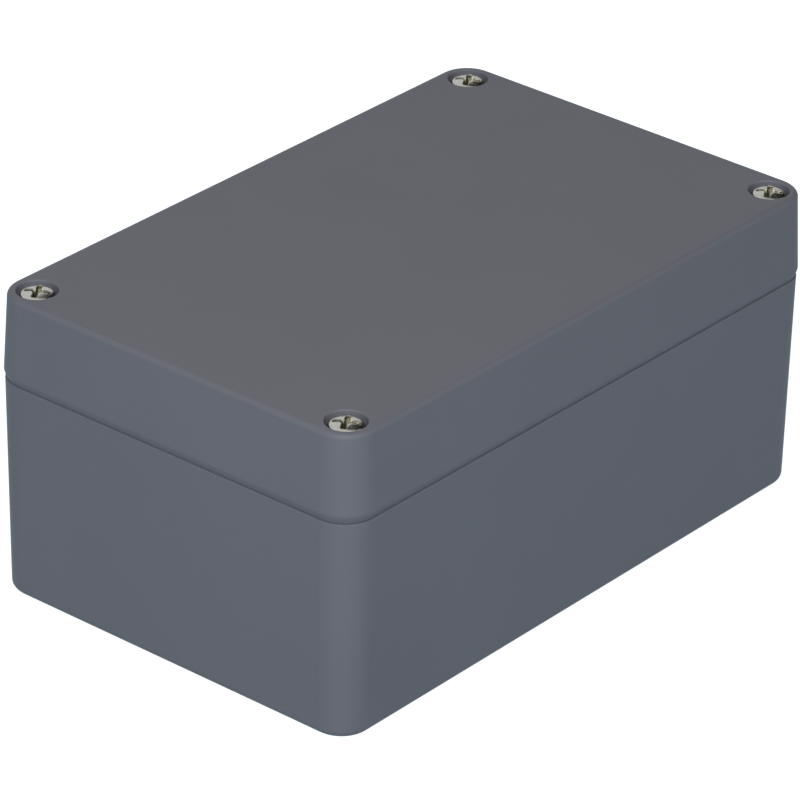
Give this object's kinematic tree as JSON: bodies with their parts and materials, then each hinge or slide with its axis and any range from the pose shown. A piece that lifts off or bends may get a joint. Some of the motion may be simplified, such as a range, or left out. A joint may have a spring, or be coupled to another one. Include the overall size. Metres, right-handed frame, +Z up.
{
  "type": "plastic enclosure",
  "caption": "Grey moulded box for electronics, with drafted round-cornered sides, a lift-off lid held by captive corner screws, an inner gasket and hidden wall-mounting holes.",
  "frame": {"origin": "middle of the base's flat underside", "axes": "+X along the long side, +Y along the short side, +Z up towards the lid"},
  "size_m": [0.125, 0.08, 0.057],
  "materials": {
    "housing": "fine spark-eroded texture",
    "seal": "matt foam skin",
    "insert": "turned and knurled",
    "screw": "bright plated"
  },
  "bodies": {
    "base": {"base": "housing", "thread_inserts": "insert"},
    "lid": {"lid": "housing", "gasket": "seal"},
    "lid_screw_front_left": {"lid_screw_front_left": "screw"},
    "lid_screw_front_right": {"lid_screw_front_right": "screw"},
    "lid_screw_back_left": {"lid_screw_back_left": "screw"},
    "lid_screw_back_right": {"lid_screw_back_right": "screw"}
  },
  "joints": [
    {"name": "lid_lift", "type": "slide", "parent": "base", "child": "lid", "axis": [0, 0, 1], "range_m": [0, 0.08]},
    {"name": "screw_out_front_left", "type": "slide", "parent": "lid", "child": "lid_screw_front_left", "axis": [0, 0, 1], "range_m": [0, 0.009]},
    {"name": "screw_out_front_right", "type": "slide", "parent": "lid", "child": "lid_screw_front_right", "axis": [0, 0, 1], "range_m": [0, 0.009]},
    {"name": "screw_out_back_left", "type": "slide", "parent": "lid", "child": "lid_screw_back_left", "axis": [0, 0, 1], "range_m": [0, 0.009]},
    {"name": "screw_out_back_right", "type": "slide", "parent": "lid", "child": "lid_screw_back_right", "axis": [0, 0, 1], "range_m": [0, 0.009]}
  ]
}
